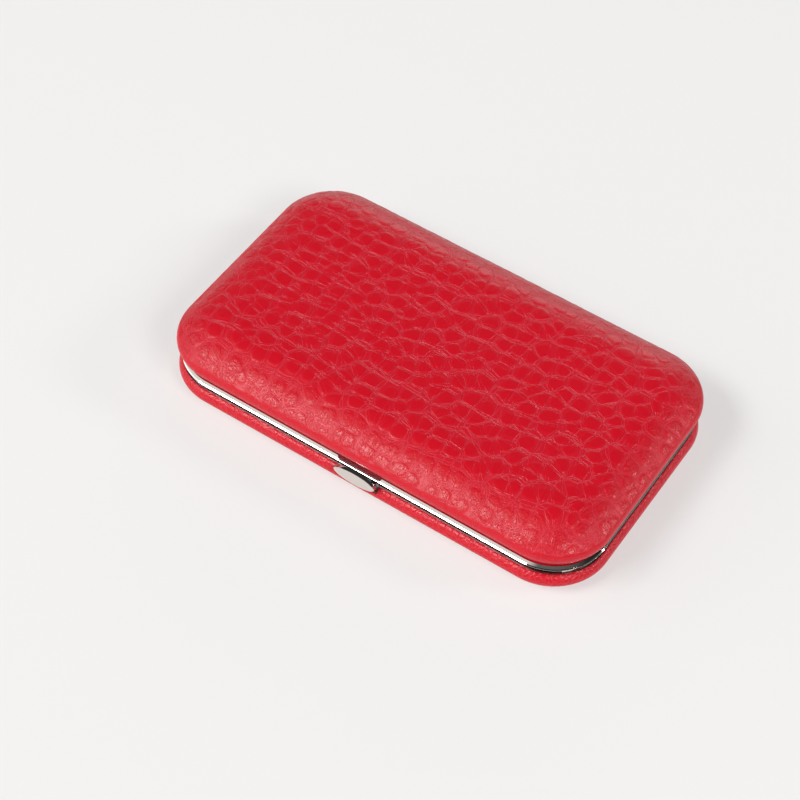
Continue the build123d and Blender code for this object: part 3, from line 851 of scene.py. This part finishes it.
def press_grain(piece):
    """Sinks the valleys between the pebbles into the piece."""
    group = bpy.data.node_groups.new("press_grain", "GeometryNodeTree")
    for way in ("INPUT", "OUTPUT"):
        group.interface.new_socket("Geometry", in_out=way, socket_type="NodeSocketGeometry")
    sheet = add(group, "NodeGroupInput")
    place, rim = (
        add(group, "GeometryNodeInputNamedAttribute", {"Name": key},
            data_type="FLOAT_VECTOR").outputs["Attribute"]
        for key in (HIDE, RIM)
    )
    down = add(group, "ShaderNodeSeparateXYZ", {0: rim}).outputs["Y"]
    depth = add(group, MATH, {0: grained_part(group, down), 1: PEBBLE_HEIGHT}, operation="MULTIPLY")
    below = add(group, MATH, {0: pebbles(group, place), 1: 1.0}, operation="SUBTRACT")
    sunk = add(group, MATH, {0: depth, 1: below}, operation="MULTIPLY")
    normal = add(group, "GeometryNodeInputNormal")
    move = add(group, VECTOR_MATH, {0: normal, "Scale": sunk}, operation="SCALE")
    moved = add(group, "GeometryNodeSetPosition", {"Geometry": sheet, "Offset": move})
    add(group, "NodeGroupOutput", {0: moved})
    piece.modifiers.new("press_grain", "NODES").node_group = group
    applied(piece)
    bpy.data.node_groups.remove(group)


press_grain(lid_leather)
finished(lid_leather, "lid_cover")
top = max(vertex.co.z for vertex in lid_leather.data.vertices)
print(f"lid leather reaches {top / MM:.2f} mm")


# %% [markdown]
# ## Pocket of the button
#
# The leather of the base is cut away behind the button, and all the base's layers make room
# for the latch. A Boolean modifier takes the room out of a closed piece, and is applied. The
# faces that it leaves have no material of their own, so they get the piece's.

# %% Cutting pieces
def cut_away(piece, bm):
    """Takes the shape in bm out of the piece."""
    bmesh.ops.recalc_face_normals(bm, faces=bm.faces)
    mesh = bpy.data.meshes.new("cutter")
    bm.to_mesh(mesh)
    bm.free()
    cutter = bpy.data.objects.new("cutter", mesh)
    scene.collection.objects.link(cutter)
    boolean = piece.modifiers.new("cut", "BOOLEAN")
    boolean.operation = "DIFFERENCE"
    boolean.solver = "MANIFOLD"
    boolean.object = cutter
    applied(piece)
    piece.data.polygons.foreach_set("material_index", [0] * len(piece.data.polygons))
    while len(piece.data.materials) > 1:
        piece.data.materials.pop()
    bpy.data.objects.remove(cutter)
    bpy.data.meshes.remove(mesh)


def block(bm, low, high):
    """A block between two corners, in millimetres."""
    made = bmesh.ops.create_cube(bm, size=1.0)["verts"]
    bmesh.ops.scale(bm, verts=made, vec=[(b - a) * MM for a, b in zip(low, high)])
    bmesh.ops.translate(bm, verts=made, vec=[(a + b) / 2 * MM for a, b in zip(low, high)])
    return made


def cut_block(piece, low, high):
    """Takes a block out of the piece."""
    room = bmesh.new()
    block(room, low, high)
    cut_away(piece, room)


print("cutters: cut_away, block, cut_block")


# %% Room for the button and the latch
BUTTON = (5.7, 2.2, 7.45)   # the button: half its length, half its height, its middle's height
FRONT = -32.35              # outer face of the frames at the front
POCKET_GROW = 0.14          # the pocket is wider than the button by this, all round


def oval(bm, grow, y_from, y_to, segments):
    """An upright oval plate at the latch, wider than the button by grow, in millimetres."""
    made = bmesh.ops.create_circle(bm, cap_ends=True, radius=1.0, segments=segments)["verts"]
    bmesh.ops.scale(bm, verts=made, vec=((BUTTON[0] + grow) * MM, (BUTTON[1] + grow) * MM, 1))
    bmesh.ops.rotate(bm, verts=made, cent=(0, 0, 0),
                     matrix=Matrix.Rotation(math.radians(90), 3, "X"))
    bmesh.ops.translate(bm, verts=made, vec=(0, y_from * MM, BUTTON[2] * MM))
    face = [f for f in bm.faces if all(v in made for v in f.verts)]
    back = bmesh.ops.extrude_face_region(bm, geom=face)["geom"]
    bmesh.ops.translate(bm, verts=[g for g in back if isinstance(g, bmesh.types.BMVert)],
                        vec=(0, (y_to - y_from) * MM, 0))


def clear_latch(piece):
    """Cuts the button's pocket and the room of the latch housing out of a base layer."""
    pocket = bmesh.new()
    oval(pocket, POCKET_GROW, FRONT - 2.3, FRONT + 0.55, 72)
    cut_away(piece, pocket)
    cut_block(piece, (-5.5, FRONT - 1.0, 4.2), (5.5, FRONT + 3.4, 8.0))


clear_latch(base_leather)
finished(base_leather, "base_cover")


# %% [markdown]
# ## Foam under the leather
#
# A thin foam sheet is glued between the leather and the shell, thickest along the shoulder.
# It is never seen, but it is what makes the case soft to hold.

# %% Foam sheets
FOAM_EDGE = 48.59           # how far down the tuck the foam reaches, in degrees
SHELL_OUT = -2.35           # outer face of the shell's wall, in millimetres
SHELL_R = 1.3               # radius of the shell's side
GLUE = 0.1                  # room for glue on both faces


def foam_sheet_piece(name, body, wide_z, flat_z, shell_z, side_r, tuck_r, shoulder):
    """Closed foam ring and its flat middle."""
    up = 1 if flat_z > wide_z else -1
    inset = LEATHER + GLUE
    over = crown(-inset, wide_z, flat_z, side_r - inset, shoulder, 8)
    swell = arc((-tuck_r, wide_z), tuck_r - inset, 0, -up * FOAM_EDGE, 4)
    bed = shell_z + up * GLUE
    inside = reversed(crown(SHELL_OUT, wide_z, bed, SHELL_R, shoulder, 6))
    section = [(FLAT_END, flat_z), *over, *swell[1:], (SHELL_OUT, swell[-1][1]), *inside,
               (FLAT_END, bed)]
    bm = bmesh.new()
    carry_round(bm, section, *INNER_STEPS)
    middle_plate(bm, flat_z, *INNER_STEPS[:2])
    middle_plate(bm, bed, *INNER_STEPS[:2])
    piece = new_piece(name, bm, foam_sheet, body, sharp=50.0)
    return piece


lid_foam = foam_sheet_piece("lid_foam", "lid", 13.4, 18.9, 17.3, 2.4, 2.6, 12.8)
base_foam = foam_sheet_piece("base_foam", "base", 4.2, 0.7, 1.8, 1.7, 2.1, 8.7)
clear_latch(base_foam)
finished(lid_foam, "lid_padding")
finished(base_foam, "base_padding")


# %% [markdown]
# ## Frames
#
# Each frame is a steel strip pressed to a channel that grips the edges of the layers. The
# lid's lip leans out 38 degrees from upright and ends in a narrow facet that leans out 56.
# The lip mirrors the pale wall and the facet the bright lamp in front, as a fine white line.
# The base's lip steps back under it and ends in a nearly flat flange over the leather. It
# mirrors the dark underside of the lid's lip, and so looks darker still than its plating.

# %% Sections of the frames
STRIP = 0.5                 # thickness of the strip, in millimetres
STRIP_BEND = 0.2            # outer radius of its inner bend
INNER_LIP = -4.55           # inner face of the inner lip
FRAME_SHARP = 18.0          # keeps the small angles between the lip's faces crisp
LID_LIP = [(-1.1, 8.17), (-0.908, 8.41), (-0.908, 8.484), (-1.158, 8.65), (-1.62, 9.245),
           (-1.7, 9.2), (-1.72, 8.55)]
BASE_LIP = [*arc((-2.0, 7.85), 0.1, 90, 0, 3), *arc((-1.7, 7.35), 0.2, 180, 250, 5),
            (-1.087, 6.912), (-1.101, 6.874), (-1.75, 7.02), (-2.38, 7.1), (-2.38, 7.45)]


def frame_strip(name, body, finish, outside, web_z, inner_z):
    """A pressed channel round one half; outside is its outer lip, from the joint on."""
    up = 1 if inner_z > web_z else -1
    bend = arc((INNER_LIP + STRIP_BEND, web_z + up * STRIP_BEND), STRIP_BEND,
               -180, -180 + 90 * up, 3)
    section = [*along(outside, 0.1), (INNER_LIP + STRIP, web_z + up * STRIP),
               (INNER_LIP + STRIP, inner_z), (INNER_LIP, inner_z), *bend]
    bm = bmesh.new()
    carry_round(bm, section, 24, 12, 32, closed=True)
    return new_piece(name, bm, finish, body, FRAME_SHARP)


print("lips:", len(LID_LIP), "and", len(BASE_LIP), "points")


# %% Frames
NOTCH = 5.4                 # half the width of the gap over the button
WEDGE = (8.45, 11.0)        # heights between which that gap widens upwards
FLARE = 1.4 / 1.8           # how much it widens on each side, as a share of its height

lid_frame = frame_strip("lid_frame_strip", "lid", nickel, LID_LIP, 8.05, 10.35)
notch = bmesh.new()
block(notch, (-NOTCH, FRONT - 1, 7.0), (NOTCH, FRONT + 1.3, 8.55))
wedge = block(notch, (-NOTCH, FRONT - 1.3, WEDGE[0]), (NOTCH, FRONT + 1.3, WEDGE[1]))
top = [vert for vert in wedge if vert.co.z > 10 * MM]
bmesh.ops.scale(notch, verts=top, vec=(1 + FLARE * (WEDGE[1] - WEDGE[0]) / NOTCH, 1, 1))
cut_away(lid_frame, notch)

base_frame = frame_strip("base_frame_strip", "base", dark_nickel, BASE_LIP, 7.95, 5.65)
cut_block(base_frame, (-5.45, FRONT - 1, 5.0), (5.45, FRONT + 4.4, 7.45))
cut_block(base_frame, (-NOTCH, FRONT - 1, 5.0), (NOTCH, FRONT + 0.55, 8.0))
cut_block(base_frame, (-2.9, FRONT + 0.5, 7.0), (2.9, FRONT + 1.5, 8.2))
for frame_piece, node in ((lid_frame, "lid_frame"), (base_frame, "base_frame")):
    frame_piece.data.set_sharp_from_angle(angle=math.radians(FRAME_SHARP))
    finished(frame_piece, node)


# %% [markdown]
# ## Push button
#
# An oval blank is stamped from sheet, its rim rolled over, and then plated and polished. Its
# face is a little smaller than its back, so the rim slopes, and a fine bevel rounds the edge.

# %% Push button
BUTTON_FACE, BUTTON_BACK = -34.4, -33.6
FACE_SHARE = (0.965, 1.0, 0.89)     # size of the face, as a share of the back's

bm = bmesh.new()
oval(bm, 0.0, BUTTON_FACE, BUTTON_BACK, 96)
front = [vert for vert in bm.verts if abs(vert.co.y - BUTTON_FACE * MM) < 1e-6]
middle = Matrix.Translation((0, 0, -BUTTON[2] * MM))
bmesh.ops.scale(bm, verts=front, vec=FACE_SHARE, space=middle)
rim = [edge for edge in bm.edges if edge.verts[0] in front and edge.verts[1] in front]
bmesh.ops.bevel(bm, geom=rim, offset=0.03 * MM, segments=1, profile=0.5, affect="EDGES",
                material=-1)
button = new_piece("push_button", bm, nickel, "button", sharp=20.0)
finished(button, "button")


# %% [markdown]
# ## Flocked trays
#
# The lining is a shallow tray with rounded corners, flocked all over. Its wall is carried
# round like the frames, and two plates close its floor.

# %% Trays
TRAY_OUT, TRAY_IN = -3.35, -3.85    # outer and inner face of its wall, in millimetres
TRAY_BEND = 1.2                     # radius between wall and floor


def tray(name, body, edge_z, seat_z, floor_z):
    """Wall and floor of the lining."""
    up = 1 if seat_z > edge_z else -1
    bend = arc((TRAY_IN - TRAY_BEND, floor_z - up * TRAY_BEND), TRAY_BEND, 0, up * 90, 6)
    back = arc((TRAY_OUT - TRAY_BEND, seat_z - up * TRAY_BEND), TRAY_BEND, up * 90, 0, 5)
    section = [(FLAT_END, floor_z), *reversed(bend), (TRAY_IN, edge_z), (TRAY_OUT, edge_z),
               *reversed(back), (FLAT_END, seat_z)]
    bm = bmesh.new()
    carry_round(bm, section, 12, 6, 14)
    middle_plate(bm, floor_z, 12, 6)
    middle_plate(bm, seat_z, 12, 6)
    return new_piece(name, bm, flock, body, sharp=40.0)


lid_tray = tray("lid_tray", "lid", 8.65, 13.3, 12.8)
base_tray = tray("base_tray", "base", 7.35, 4.3, 4.8)
cut_block(base_tray, (-9.3, FRONT - 1.0, 4.2), (9.3, FRONT + 3.4, 8.0))
finished(lid_tray, "lid_liner")
finished(base_tray, "base_liner")


# %% [markdown]
# ## Elastic bands
#
# A band is sewn down to the tray between the loops that hold the tools. A line across the
# band is pulled and spun along its path, so every loop is one true arch.

# %% Elastic bands
BAND_W, BAND_T = 12.0, 0.5  # width and thickness, in millimetres
BAND_LIFT = 0.3             # middle of its thickness above the tray
LOOP_R = 3.5                # of a loop's arch, to the middle of its thickness
LOOP_FOOT = 2.0             # height above the tray at which the arch starts
LOOP_BEND = 0.4             # radius between tray and loop
PITCH = 10.0                # from loop to loop, as nail tools need
TAIL = 6.4                  # from the last loop's middle to the band's end


def pulled(bm, geom, y, z):
    """Pulls the band's end line straight on by y and z."""
    return carry(bm, geom, 1, step=Vector((0, y, z)) * MM)


def turned(bm, geom, y, z, degrees, steps):
    """Turns the band's end line about a line across the band, at y and z."""
    return carry(bm, geom, steps, degrees=degrees, centre=(0, y * MM, z * MM), axis=(1, 0, 0))


def lay_flat(bm):
    """Writes down how far along the band each point lies, and gives the band's length."""
    flat_place = bm.verts.layers.float_vector.new(HIDE)
    run, last = 0.0, None
    for vert in bm.verts:           # they were made in pairs, from one end to the other
        run += (vert.co.yz - last).length if last is not None else 0.0
        last = vert.co.yz
        vert[flat_place] = (run, vert.co.x, 0.0)
    return run


def band(name, body, middle_x, loops, seat_z, up):
    """Elastic with its loops, as one strip with thickness, sewn to the tray under it."""
    bm = bmesh.new()
    z = seat_z + up * BAND_LIFT
    first = -(loops - 1) / 2 * PITCH
    start = first - TAIL
    xs = (middle_x - BAND_W / 2, middle_x + BAND_W / 2)
    verts = [bm.verts.new((x * MM, start * MM, z * MM)) for x in xs]
    geom = verts + [bm.edges.new(verts)]
    half = LOOP_R + LOOP_BEND
    leg = LOOP_FOOT - BAND_LIFT - LOOP_BEND
    geom = pulled(bm, geom, TAIL - half, 0)
    for index in range(loops):
        y = first + index * PITCH
        geom = turned(bm, geom, y - half, z + up * LOOP_BEND, 90 * up, 4)
        geom = pulled(bm, geom, 0, up * leg)
        geom = turned(bm, geom, y, seat_z + up * LOOP_FOOT, -180 * up, 16)
        geom = pulled(bm, geom, 0, -up * leg)
        geom = turned(bm, geom, y + half, z + up * LOOP_BEND, 90 * up, 4)
        geom = pulled(bm, geom, TAIL - half if index == loops - 1 else PITCH - 2 * half, 0)
    run = lay_flat(bm)
    piece = new_piece(name, bm, woven_elastic, body, sharp=60.0)
    thick = piece.modifiers.new("thickness", "SOLIDIFY")
    thick.thickness = BAND_T * MM
    thick.offset = 0.0
    applied(piece)
    print(f"{name}: {BAND_W:.0f} x {run / MM:.1f} mm, laid flat")
    return piece


base_band = band("base_elastic", "base", -16.0, 5, 4.85, 1)
lid_band = band("lid_elastic", "lid", 16.0, 3, 12.75, -1)
finished(base_band, "base_tool_band")
finished(lid_band, "lid_tool_band")


# %% [markdown]
# ## Finishes of the carried-over pieces
#
# The latch, the catch plate, the hinges and the shells already have their true shape, so
# they only get their finish; the catch plate's dark red is painted shade.

# %% Finishes
FINISHES = {
    "latch_housing": steel, "latch_keeper": steel, "latch_slider": steel,
    "latch_rivets": nickel, "latch_spring": spring_steel, "lid_strike": shaded_leather_red,
    "lid_shell": shell_plastic, "base_shell": shell_plastic,
}
for side in ("left", "right"):
    for part in ("base_leaf", "lid_leaf", "pin"):
        FINISHES[f"hinge_{side}_{part}"] = nickel
for name, finish in FINISHES.items():
    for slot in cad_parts[name].material_slots:
        slot.material = finish
print(len(FINISHES), "carried-over pieces finished")
